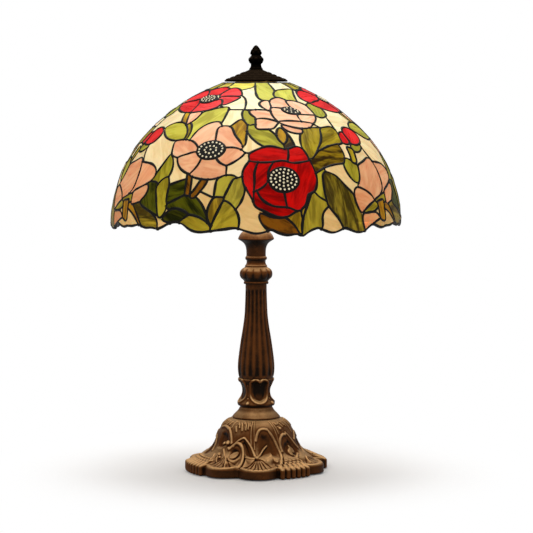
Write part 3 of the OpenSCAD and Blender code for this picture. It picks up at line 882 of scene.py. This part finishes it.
# ------------------------------------------------------------------ cast bronze: turned shapes with relief


def curve_through(points, step):
    """A smooth outline through a few points, as evenly spaced points."""
    p = np.array(points, float)
    chord = line_length(p, 0.5)
    slopes = np.gradient(p, chord, axis=0)
    dense = [hermite(t, chord[i + 1] - chord[i], p[i], p[i + 1], slopes[i], slopes[i + 1])
             for i in range(len(p) - 1) for t in np.linspace(0, 1, 24, endpoint=False)]
    return evenly(np.array(dense + [p[-1]]), step)


def outline_of(*parts, step=0.8):
    """Smooth curves and straight lines through radii and heights; the parts meet at corners."""
    chains = [curve_through(pairs(part), step) if len(part) > 4 else evenly(np.array(pairs(part), float), step)
              for part in parts]
    return np.vstack([chains[0]] + [chain[1:] for chain in chains[1:]])


def placed(numbers, where, along):
    """Angles and radii (or heights) as (degrees, along); where holds the outline's own radii (or heights)."""
    return [(a, float(np.interp(r, where, along))) for a, r in pairs(numbers)]


def fine_line(points):
    """The line through the points, rounded at each of them."""
    p = np.array(points, float)
    if len(p) < 3:
        return [tuple(q) for q in p]
    out = []
    padded = np.vstack([2 * p[0] - p[1], p, 2 * p[-1] - p[-2]])
    for i in range(1, len(padded) - 2):
        a, b, c, d = padded[i - 1:i + 3]
        out.extend(tuple(0.5 * (2 * b + (c - a) * t + (2 * a - 5 * b + 4 * c - d) * t * t
                                + (3 * b - a - 3 * c + d) * t ** 3)) for t in (0, 0.25, 0.5, 0.75))
    return out + [tuple(p[-1])]


class Relief:
    """Heights in millimetres over a grid of degrees round an axis and millimetres along an outline.

    Shapes are given as (degrees, along) points about a direction.
    """

    def __init__(self, degrees, radii, along):
        self.degrees = degrees[None, :] + 0 * radii[:, None]
        self.scale = np.radians(1) * radii[:, None] + 0 * self.degrees
        self.along = along[:, None] + 0 * self.degrees
        self.height = np.zeros_like(self.degrees)

    def turned_by(self, degrees):
        """Degrees from a direction, between -180 and 180."""
        return (self.degrees - degrees + 180) % 360 - 180

    def distance(self, line, about):
        """Distance to a line, in millimetres."""
        x, y = self.turned_by(about) * self.scale, self.along
        best = np.full(x.shape, 1e9)
        for (a0, u0), (a1, u1) in zip(line, line[1:]):
            ax, dx, dy = a0 * self.scale, a1 * self.scale - a0 * self.scale, u1 - u0
            t = np.clip(((x - ax) * dx + (y - u0) * dy) / np.maximum(dx * dx + dy * dy, 1e-9), 0, 1)
            best = np.minimum(best, np.hypot(x - ax - t * dx, y - u0 - t * dy))
        return best

    def raise_by(self, reach, tall):
        """Rounded raised work where reach is under 1, standing partly on the ground and never lowering it."""
        bump = tall * np.sqrt(np.clip(1 - reach ** 2, 0, 1)) + 0.4 * np.minimum(self.height, 0)
        self.height = np.where(reach < 1, np.maximum(self.height, bump), self.height)

    def ridge(self, points, about, half, tall):
        """A rounded raised line."""
        self.raise_by(self.distance(fine_line(points), about) / half, tall)

    def boss(self, place, about, radius, tall):
        """A rounded raised spot."""
        x = (self.turned_by(about) - place[0]) * self.scale
        self.raise_by(np.hypot(x, self.along - place[1]) / radius, tall)

    def groove(self, points, about, half, deep):
        self.height -= deep * ease(1 - self.distance(fine_line(points), about) / half)

    def panel(self, points, about, deep, soft):
        """A sunk panel whose sides slope over a soft distance."""
        line = fine_line(points + points[:1])
        within = inside(self.turned_by(about), self.along, line)
        self.height -= np.where(within, deep * ease(self.distance(line, about) / soft), 0)


def blurred(grid, times):
    for _ in range(times):
        grid = (np.roll(grid, 1, 1) + np.roll(grid, -1, 1) + 2 * grid) / 4
        padded = np.pad(grid, ((1, 1), (0, 0)), mode="edge")
        grid = (padded[:-2] + padded[2:] + 2 * grid) / 4
    return grid


def turned_piece(name, outline, columns, material, slot, body, node, carve=None, shape_of=None):
    """A turned casting: an outline of (radius, height) spun round the axis, with relief on it.

    carve(relief) adds heights; shape_of(degrees) may give each column an outline of its own instead. Each point
    also keeps a level for its finish: real wear where it stands proud, painted light where it faces up and
    painted shade where it faces down.
    """
    degrees = np.arange(columns) * 360.0 / columns
    shape = shape_of(degrees) if shape_of else np.repeat(outline[:, None, :], columns, axis=1)
    relief = Relief(degrees, np.maximum(outline[:, 0], 1.0), line_length(outline))
    if carve:
        carve(relief)
    height = blurred(relief.height, 1)
    tangent = unit_rows(np.gradient(shape, axis=0))
    side = 1 if outline[-1, 1] > outline[0, 1] else -1
    normal = np.stack([tangent[..., 1], -tangent[..., 0]], axis=2) * side
    r, z = np.moveaxis(shape + normal * height[..., None], 2, 0)
    turn = np.radians(degrees)[None, :]
    points = np.stack([r * np.sin(turn), -r * np.cos(turn), z + 0 * turn], axis=2).reshape(-1, 3) * MM
    index = np.arange(len(points)).reshape(-1, columns)
    after = np.roll(index, -1, axis=1)
    faces = np.stack([index[:-1], after[:-1], after[1:], index[1:]], axis=2).reshape(-1, 4)
    piece = add_piece(name, points, faces[:, ::side].tolist(), material, body)
    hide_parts(node)
    normals = np.zeros(len(points) * 3, np.float32)
    piece.data.vertices.foreach_get("normal", normals)
    facing_up = normals.reshape(-1, columns, 3)[..., 2]
    proud = height - blurred(height, 24)
    # real wear where it stands proud or sits low; painted light where it faces up, painted shade where it faces
    # down
    wear_and_painted_light = 0.26 + 0.26 * proud + 0.05 * height + np.where(facing_up > 0, 0.52, 0.2) * facing_up
    keep_values(piece, "wear_and_painted_light", "FLOAT", "value", np.clip(wear_and_painted_light, 0.06, 0.95))


def bronze_material(name, deep, mid, rubbed, metallic=0.55, sheen=0.12):
    """An antique bronze finish: dark hollows, brown flats, rubbed bright where proud, with painted light facing
    up.
    """
    shader = Shader(name)
    place = shader.place()
    # the level holds real wear and painted light: lighter on what faces up, darker on what faces down
    level = shader.stirred(shader.attribute("wear_and_painted_light", "Fac"), shader.noise(place, 38, 5, 0.6), 0.34)
    level = shader.stirred(level, shader.noise(place, 420, 4, 0.65), 0.14)
    low = shader.mix(shader.remap(level, 0.12, 0.42), deep, mid)
    colour = shader.mix(shader.remap(level, 0.42, 0.9), low, rubbed)
    shader.set(Base_Color=colour, Metallic=metallic, Roughness=shader.remap(level, 0.3, 0.8, 0.6, 0.42),
               Specular_IOR_Level=sheen)
    shader.bump(shader.noise(place, 700, 4, 0.6), 0.25, 0.00025)
    return shader.material


# ------------------------------------------------------------------ the foot: lily pads, scrolls and toes

FOOT_REPEATS = 2
# Where the rows of toes stand, in degrees
TOES = [22 + 5 * i for i in range(6)] + [-52.5] + [-57 - 5 * i for i in range(7)]
# The rim's lobes as (degrees, distance out, radius): a wide pad, a narrower one on either side, and the toes
LOBES = [(2, 74, 28), (-36, 72, 27), (67, 72, 27)] + [(toe, 92.6, 4.7) for toe in TOES]
# The foot's top, from the collar out to the rim, as radius and height
BELL = (31, 73.0, 34, 72.6, 40, 69.6, 46, 64.4, 51.5, 55.6, 55.5, 46, 59.5, 37.5, 65, 30)
BELL_R, RIM_Z, ROLL_R, BASE_Z = 65, 13.6, 2.2, 1.5
LEAST_R, DRAWN_R = 86.0, 100.0  # the rim between lobes, and where the relief is drawn for
FOOT_ROWS = 150
# Ribbons are drawn with these measures made wider and lower
RIBBON_WIDE, RIBBON_LOW = 1.12, 0.65


def foot_edge_radius(degrees):
    best = np.full(degrees.shape, LEAST_R)
    for repeat in range(FOOT_REPEATS):
        for at, out, radius in LOBES:
            turn = np.radians((degrees - at - 360 / FOOT_REPEATS * repeat + 180) % 360 - 180)
            reach = radius ** 2 - (out * np.sin(turn)) ** 2
            hit = (reach > 0) & (np.abs(turn) < 1)
            best = np.maximum(best, np.where(hit, out * np.cos(turn) + np.sqrt(np.maximum(reach, 0)), 0))
    return best


def foot_bell(edge_r):
    """The foot's top for one edge radius: bell and sloping pad."""
    slope = [(BELL_R + part * (edge_r - BELL_R), z) for part, z in ((0.27, 24), (0.62, 18))]
    return resampled(curve_through(pairs(BELL) + slope + [(edge_r - ROLL_R, RIM_Z)], 0.8), FOOT_ROWS)


def foot_outline(edge_r):
    """The foot's whole outline for one edge radius: bell, sloping pad, rolled rim and side."""
    rim = [(edge_r - ROLL_R + ROLL_R * math.sin(t), RIM_Z - ROLL_R + ROLL_R * math.cos(t))
           for t in np.linspace(0.15, math.pi / 2, 6)]
    side = [(edge_r, z) for z in np.linspace(RIM_Z - ROLL_R, BASE_Z + 0.6, 13)[1:]]
    under = [(edge_r - 0.8, BASE_Z), (edge_r - 4, BASE_Z), (80, BASE_Z)]
    return np.vstack([foot_bell(edge_r), rim + side + under])


def foot_shape(degrees):
    return np.stack([foot_outline(edge_r) for edge_r in foot_edge_radius(degrees)], axis=1)


def carve_foot(relief):
    """Sunk panels, ribbons, two veined pads, buds and feathered leaves; the back repeats the front."""
    bell = foot_bell(DRAWN_R)
    along = line_length(bell)

    def at(*numbers):
        return placed(numbers, bell[:, 0], along)

    lip = np.sqrt(np.clip(1 - ((relief.along - (along[-1] - 2.6)) / 3.4) ** 2, 0, 1))
    relief.height += 1.2 * lip
    for about in (0, 180):
        for deep, soft, *numbers in FOOT_PANELS:
            relief.panel(at(*numbers), about, deep, soft)
        for half, deep, *numbers in FOOT_GROOVES:
            relief.groove(at(*numbers), about, half, deep)
    for about in (0, 180):
        for half, tall, *numbers in FOOT_RIBBONS:
            relief.ridge(at(*numbers), about, RIBBON_WIDE * half, RIBBON_LOW * tall)
        for angle, r, radius, tall in FOOT_BOSSES:
            relief.boss(at(angle, r)[0], about, radius, tall)
        for toe in TOES:
            relief.ridge([(toe, along[-1] + 11)] + at(toe, 97.5, toe, 89), about, 3.9, 1.7)
            relief.boss(at(toe + 2.4, 85)[0], about, 2.9, 2.2)
            relief.boss(at(toe - 0.4, 79.5)[0], about, 2.2, 1.6)


# In degrees from the front and millimetres from the axis. Panels start with how deep and how soft they are.
FOOT_PANELS = [
    (2.6, 10, 1, 52, 5, 49.8, 10, 49.3, 16, 50.5, 21, 52.5, 25, 56, 28.5, 61, 29.5, 68, 27, 74, 20, 72.5,
     10, 70.5, 5, 69, 1, 66, -0.5, 60),
    (2.4, 6, -22, 59, -18, 56.6, -12, 57.6, -7, 61, -3, 66, -4, 70, -12, 70.5, -14.5, 68, -17, 62.5),
    (2.2, 5, -36, 62, -31, 59.8, -26, 60.2, -21.5, 63, -18.6, 69, -19.5, 75, -24, 79, -29, 77, -34, 71),
    (2.4, 7, -66, 52, -58, 50.2, -50, 51, -43, 53.6, -40.5, 57.5, -47, 61, -56, 63, -64, 61),
    (2.6, 8, 36.5, 59, 42, 56.4, 50, 55.4, 58, 56.6, 65, 61, 66, 68, 60, 74, 52, 77, 44, 75, 38, 70, 35.5, 64),
    (1.9, 9, -13.2, 74, -5, 73.5, 1, 73, 8, 75, 22, 77, 25.5, 80, 22, 89, 18, 95, 10, 97.5, 2, 98, -8, 97.5,
     -13, 95.5, -13.6, 86),
    (1.7, 8, -47, 66, -40, 71, -30, 80, -18, 78, -17.5, 90, -22, 95, -32, 97.5, -42, 96, -50, 88),
    (1.7, 8, 40, 79, 52, 79, 66, 76, 78, 80, 82, 90, 70, 97, 56, 97, 50, 90),
    (2.6, 6, -88, 60, -76, 58, -70, 64, -72, 74, -80, 78, -90, 76),
    (2.6, 6, 70, 58, 80, 56, 90, 58, 92, 66, 84, 72, 74, 70),
]
# Ribbons start with half their width and how tall they are
FOOT_RIBBONS = [
    # round the tall panel and down the big pad's side
    (2.1, 2.5, -0.6, 54.6, 1.2, 51.6, 4.6, 48.6, 10, 47.5, 16, 48.5, 21, 50.8, 25.8, 54.6, 29.4, 60, 30.8, 66,
     29.6, 72, 26.6, 79, 23.4, 87, 19.8, 96),
    # the scroll that ends in the hub
    (1.9, 2.6, -32, 59, -29, 57, -24, 55.6, -18, 55.4, -12, 56.4, -7, 58.6, -3.4, 62.4, -1.2, 67),
    # the small pad's rolled edge
    (2.1, 2.9, -37, 61, -32.5, 58.4, -28, 57.2, -24, 58, -20, 60.8, -17.2, 65.5, -15.8, 71, -15.2, 79,
     -15.8, 88, -18, 97),
    # the ovals' brows
    (2, 2.4, -74, 48.6, -66, 47.4, -60, 47.4, -54, 48.2, -48, 49.6, -42.5, 51.8, -38.5, 54.4, -36.5, 57),
    (2, 2.4, 34.2, 64, 34.2, 60, 35.4, 56.6, 39, 54, 44, 52.8, 50, 53, 56, 54.6, 62, 57.6, 67, 62),
    (1.9, 2.1, -92, 56, -84, 55, -76, 56.4, -70.6, 60, -68.6, 66),
    (1.9, 2.1, 69, 56, 76, 54, 84, 53.6, 92, 55.4),
    # stems from the hub
    (1.25, 2.4, 2, 68, 4.6, 64.6, 7.2, 61.6, 10.2, 59.6, 14.2, 58.6),
    (1.4, 2.1, 0, 69.6, -4, 71, -8, 71.6, -12.4, 72.4), (1.1, 1.7, 3, 70, 6.4, 71.8, 9.8, 75.4),
    # stems of the small pad, and of the one on the right
    (1.2, 2.2, -46, 63.4, -42.5, 66, -39.4, 69.6), (0.9, 1.2, -37, 71, -34, 76, -31.6, 82, -29.5, 90, -28, 96),
    (1.2, 1.9, -49.4, 74, -46.4, 78.6, -43.4, 82), (1.1, 1.5, -57, 70, -54, 76, -52, 83),
    (1.2, 2, 59, 68.4, 55, 73.4, 51.8, 78.6, 49.2, 85, 47.8, 91), (1, 1.3, 66, 76, 62, 82, 59.6, 90),
    # long leaves that run down from the collar
    (1, 1.3, -3, 36, -3.6, 44, -3, 52, -2, 60), (1.2, 1.6, -6.8, 37, -7.8, 46, -7.6, 54, -6, 60),
    (1.1, 1.4, 27, 37, 29.4, 44, 32, 52, 33.6, 60), (1, 1.2, 31.6, 37, 34.4, 46, 36.6, 52),
    (1.1, 1.3, -42, 37, -44, 43, -45, 48), (1.1, 1.3, 63, 38, 66, 46, 68, 52),
    # feathers
    (1.3, 1.9, -35, 39.6, -32.4, 43.6), (1.3, 1.9, -31.4, 42.6, -29, 47), (1.3, 1.8, -27.6, 41, -25, 45.6),
    (1.2, 1.6, -25, 46, -23, 50), (1.3, 1.9, -20.6, 40.6, -18, 45, -17, 50),
    (1.3, 1.9, -16.4, 40, -14, 44, -13.4, 48.6), (1.2, 1.7, -12, 40, -10.6, 45), (1.2, 1.5, -37, 46, -33, 50),
    (1.1, 1.5, -23, 38.6, -22, 42.6), (1.4, 2, 36, 39.6, 38.4, 44), (1.3, 2, 40, 46.6, 44.6, 48),
    (1.3, 1.8, 42, 43, 46.6, 41), (1.2, 1.6, 47.6, 43, 50.6, 48), (1.3, 1.8, 53, 40, 56, 46),
    (1.2, 1.6, 58, 40, 61, 47), (1.3, 1.8, -52, 40, -55, 45), (1.3, 1.7, -60, 40, -63, 45),
    (1.3, 1.7, -70, 39, -72, 45), (1.3, 1.7, -80, 39, -79, 48), (1.2, 1.6, -86, 39, -87, 48),
    (1.3, 1.7, 75, 39, 77, 48), (1.2, 1.6, 84, 39, 84, 48),
]
# Grooves start with half their width and how deep they are
FOOT_GROOVES = [
    (1.5, 1.8, -13.2, 71, -12.8, 80, -13.6, 90, -15.6, 98),
    (1.3, 1.4, 32.4, 66, 31.4, 73, 28.6, 80, 25.4, 88, 22, 97),
    (1.15, 1.5, -0.6, 72, -4.6, 80, -8, 87, -11, 92), (1.15, 1.5, -0.2, 72.6, -3.2, 82, -5.4, 90, -7, 96),
    (1.15, 1.5, 0.6, 73, -0.6, 84, -1.6, 91, -2.2, 97), (1.15, 1.5, 1.6, 73, 1.8, 84, 1.8, 91, 1.6, 96),
    (1.15, 1.5, 2.8, 73, 4.2, 82, 5, 90, 5.4, 97), (1.15, 1.5, 3.6, 72.6, 6.6, 80, 8.6, 88, 9.6, 95),
    (1.15, 1.4, 4.6, 72, 9.4, 79, 12.6, 85, 14.4, 91), (1.05, 1.3, -38, 72, -42, 80, -45, 87, -47, 92),
    (1.05, 1.3, -37, 73, -39, 82, -41, 90, -42, 96), (1.05, 1.3, -36, 73, -36, 82, -36.6, 90, -37, 97),
    (1.05, 1.3, -35, 73, -32.6, 82, -32, 90, -32, 96), (1.05, 1.3, -33.6, 73, -28.6, 82, -25.6, 89, -24, 94),
    (1.05, 1.2, -32.4, 76, -26, 82, -22, 86), (1, 1.2, 62, 78, 58, 86, 55, 93),
    (1, 1.2, 64, 78, 62, 87, 61, 96), (1, 1.2, 66, 78, 67, 87, 68, 96), (1, 1.2, 68, 77, 73, 85, 76, 92),
]
# Where each boss stands, its radius and how tall
FOOT_BOSSES = [(0.9, 69.4, 2.7, 3.1), (-27.4, 68.4, 6.4, 0.9), (-49.4, 58.4, 2.6, 2.9),
               (-42.4, 57.2, 3.6, 3.6), (-38.6, 60.4, 2, 2.4), (-48.4, 71.6, 3, 2.6), (-44.6, 74.2, 2.2, 1.9),
               (50.4, 65.6, 6.6, 0.8), (42.6, 48.2, 2.4, 2.2), (38.4, 42.4, 2, 1.9)]

# ------------------------------------------------------------------ the column


def carve_column_foot(relief):
    """Four U-shaped panels round the waist, with a bead between each two."""
    along = line_length(COLUMN_FOOT)

    def at(*numbers):
        return placed(numbers, COLUMN_FOOT[:, 1], along)

    for about in (13, 103, 193, 283):
        relief.panel(at(-26, 124, -30, 117, -30, 108, -25, 102, -13, 98.6, 0, 97.4, 13, 98.6, 25, 102, 30, 108,
                        30, 117, 26, 124, 13, 125.6, 0, 123.6, -13, 125.6), about, 2.4, 3.6)
        relief.ridge(at(-33, 123, -36, 116, -36.4, 108, -32, 102, -22, 98, -11, 95.6, 0, 94.8, 11, 95.6, 22, 98,
                        32, 102, 36.4, 108, 36, 116, 33, 123), about, 1.8, 1.5)
        relief.ridge(at(-31, 124, -22, 127, -13, 127.8, -5, 126.4, 0, 124.4, 5, 126.4, 13, 127.8, 22, 127,
                        31, 124), about, 1.5, 1.2)
        relief.boss(at(-41, 94.6)[0], about, 2.6, 2.3)
        relief.boss(at(-45, 100.6)[0], about, 1.4, 1.0)
        relief.ridge(at(-45, 104, -45, 119), about, 1.6, 0.9)


def carve_shaft(relief):
    """Sixteen rounded ridges with hollows between them, run out at both ends."""
    fade = ease((relief.along - 1.5) / 6) * ease((relief.along.max() - 5 - relief.along) / 6)
    wave = np.cos(np.radians((relief.degrees + 8) * 16))
    swell = 0.45 + 0.55 * relief.scale / relief.scale.max()
    relief.height += fade * (0.7 * np.sign(wave) * np.abs(wave) ** 0.9 - 0.7) * swell


def carve_knop(relief):
    """Twelve drop-shaped gadroons, wide at the top."""
    level = relief.along / relief.along.max()
    fade = ease((level - 0.26) / 0.2) * ease((0.97 - level) / 0.16)
    wave = np.abs(np.cos(np.radians((relief.degrees - 4) * 6)))
    relief.height += fade * (1.3 * wave ** (0.6 + 0.6 * (1 - level)) - 0.9)


# Each ring of curls on the cap: how far up it is, how many curls and how big their beads are
CURLS = [(0.2, 26, 2.3), (0.36, 22, 2.5), (0.55, 17, 2.5), (0.74, 12, 2.3)]


def carve_cap(relief):
    """Pierced-looking scrollwork: rings of curls and beads."""
    total = relief.along.max()
    for row, (level, count, size) in enumerate(CURLS):
        step = 360 / count
        for i in range(count):
            about = (i + 0.5 * (row % 2)) * 360 / count
            relief.ridge([(-0.42 * step, total * (level - 0.05)), (0, total * (level + 0.045)),
                          (0.42 * step, total * (level - 0.05))], about, 1.0, 0.8)
            relief.boss((0, total * (level - 0.035)), about, size / 1.8, 0.9)


def carve_finial(relief):
    """Leaves that overlap like scales on the bud and on the bulb under it."""
    for z, count, shift in ((560.4, 8, 0), (564.4, 8, 0.5), (568.6, 8, 0), (576.6, 7, 0.5), (580, 6, 0)):
        middle = placed((0, z), FINIAL[:, 1], line_length(FINIAL))[0]
        for i in range(count):
            relief.boss(middle, (i + shift) * 360 / count, 2.7, 0.8)


COLUMN_FOOT = outline_of((30, 73, 32.6, 73),
                         (32.6, 73, 33.2, 74.2, 32.4, 75.6),
                         (32.4, 75.6, 29.4, 79, 25.4, 83, 23, 87),
                         (23, 87, 22.2, 88.4, 22.8, 89.6),
                         (22.8, 89.6, 25, 90.4, 25.9, 92.8, 24.6, 95.4),
                         (24.6, 95.4, 21.4, 101, 19.6, 108, 20, 115, 22.4, 121.4, 24, 125),
                         (24, 125, 24.2, 126.8, 23.4, 128), step=0.7)
SHAFT = outline_of((23, 128, 24.6, 132, 25.6, 140, 25.4, 150, 23.8, 164, 21.2, 182, 18.2, 200, 16.2, 216,
                    15.3, 234, 14.8, 251),
                   (14.8, 251, 14.6, 259), step=0.9)
KNOP = outline_of((14.6, 259, 16.8, 259.2),
                  (16.8, 259.2, 17.2, 261, 16.4, 262.8),
                  (16.4, 262.8, 17.8, 264.6, 21, 268, 22.3, 272.4, 21.4, 277, 18.4, 280.4, 16.4, 281.6),
                  (16.4, 281.6, 15.2, 283), step=0.5)
NECK = outline_of((15.2, 283, 15.4, 283.8, 15.2, 284.6),
                  (15.2, 284.6, 13.8, 286.4, 13.1, 289, 13.3, 292),
                  (13.3, 292, 14.6, 293, 15.1, 295, 14.6, 296.6),
                  (14.6, 296.6, 13.6, 297.4, 13.4, 300), step=0.5)
CUP = outline_of((13.4, 300, 13.6, 306, 14.6, 311, 17.2, 315.6, 21.4, 318.8, 24.2, 320.4),
                 (24.2, 320.4, 24.9, 321.6, 24.6, 322.8),
                 (24.6, 322.8, 22.8, 326.4, 19.8, 330.4, 16, 333, 11, 334), step=0.5)
CAP = outline_of((41.6, 538.4, 43.2, 538),
                 (43.2, 538, 43.4, 539.2, 42.6, 540.2),
                 (42.6, 540.2, 33, 543.9, 22, 548.6, 13.4, 552.4, 9.6, 554.1), step=0.45)
FINIAL = outline_of((9.7, 554.2, 8.8, 556.4, 6.9, 558.8, 6.2, 560.8, 7.6, 563, 9.5, 565.6, 9.6, 568.6,
                     8.3, 571.6, 6.7, 573.8, 6.3, 574.8),
                    (6.3, 574.8, 7.3, 576.4, 6.6, 580, 4.2, 584.6, 1.8, 587.2, 0.05, 588), step=0.35)


def build_stand():
    # the last colour serves both rubbed wear and painted light on what faces up
    bronze = bronze_material("antique_bronze", (18, 9, 3), (90, 50, 18), (222, 176, 120))
    for name, outline, columns, node, *shaping in (
            ("foot", foot_outline(DRAWN_R), 1080, "base_casting", carve_foot, foot_shape),
            ("column_foot_cast", COLUMN_FOOT, 360, "column_foot", carve_column_foot),
            ("shaft_cast", SHAFT, 384, "fluted_shaft", carve_shaft),
            ("knop_cast", KNOP, 336, "knop", carve_knop),
            ("neck_cast", NECK, 128, "neck"),
            ("cup_cast", CUP, 160, "vase_cup")):
        turned_piece(name, outline, columns, bronze, "antique_bronze", "stand", node, *shaping)


def build_top():
    # the last colour serves both rubbed wear and painted light on what faces up
    dark = bronze_material("dark_bronze", (1, 1, 1), (7, 5, 3), (40, 30, 21), 0.0, 0.0)
    turned_piece("cap_cast", CAP, 480, dark, "dark_bronze", "shade", "heat_cap", carve_cap)
    turned_piece("finial_cast", FINIAL, 160, dark, "dark_bronze", "finial", "finial", carve_finial)


# ------------------------------------------------------------------ the parts that keep their CAD shape

# Each finish's colour, how metallic and how rough it is, how much darker its clouds are, and its grain's depth
FINISHES = {
    "lamp_brass": ((196, 158, 88), 1.0, 0.3, 0.25),
    "plated_steel": ((176, 176, 172), 1.0, 0.35, 0.2),
    "ballast_iron": ((72, 70, 68), 0.8, 0.6, 0.35, 0.0004),
    "felt": ((38, 62, 42), 0.0, 0.95, 0.3, 0.0006),
    "black_plastic": ((22, 22, 22), 0.0, 0.4, 0.1),
    "socket_ceramic": ((232, 226, 212), 0.0, 0.25, 0.06),
    "bulb_metal": ((190, 188, 180), 1.0, 0.28, 0.15),
    "bulb_opal": ((246, 242, 232), 0.0, 0.18, 0.03),
}


def plain_material(name, colour, metallic, roughness, clouds, grain=0.0):
    """A finish with a slight clouding, worked out from the place in the object."""
    shader = Shader(name)
    place = shader.place()
    cloud = shader.noise(place, 60, 4, 0.6)
    light = srgb(*colour)
    tint = shader.mix(shader.remap(cloud, 0.35, 0.65), (*(c * (1 - clouds) for c in light), 1), (*light, 1))
    rough = shader.remap(cloud, 0.3, 0.7, max(roughness - 0.08, 0.05), roughness + 0.08)
    shader.set(Base_Color=tint, Metallic=metallic, Roughness=rough)
    if grain:
        shader.bump(shader.noise(place, 900, 4, 0.6), 0.4, grain)
    return shader.material


def dress_nodes(patina):
    finishes = {name: plain_material(name, *looks) for name, looks in FINISHES.items()}
    finishes["black_patina"] = patina
    for part in frame["record"]["subparts"]:
        node, finish = frame["nodes"][part["node"]], finishes.get(part["material_slot"])
        if finish:
            node.data.materials.clear()
            node.data.materials.append(finish)


def add_floor():
    """A pale floor that turns to plain white away from the lamp, as a lit studio sweep does."""
    bpy.ops.mesh.primitive_plane_add(size=12)
    floor = bpy.context.object
    floor.name = "floor"
    shader = Shader("floor")
    shader.set(Base_Color=(0.86, 0.86, 0.86, 1), Roughness=0.7, Emission_Color=(1, 1, 1, 1),
               Emission_Strength=0.03)
    away = shader.node("ShaderNodeVectorMath", operation="LENGTH")
    shader.plug(shader.place(), away.inputs[0])
    blend = shader.node("ShaderNodeMixShader", Fac=shader.remap(away.outputs["Value"], 0.17, 0.4))
    shader.plug(shader.surface.outputs["BSDF"], blend.inputs[1])
    shader.plug(shader.node("ShaderNodeEmission").outputs["Emission"], blend.inputs[2])
    shader.plug(blend.outputs["Shader"], shader.tree.nodes["Material Output"].inputs["Surface"])
    floor.data.materials.append(shader.material)


add_camera()
add_studio()
add_floor()
patina = patina_material()
build_glass(patina)
build_stand()
build_top()
dress_nodes(patina)
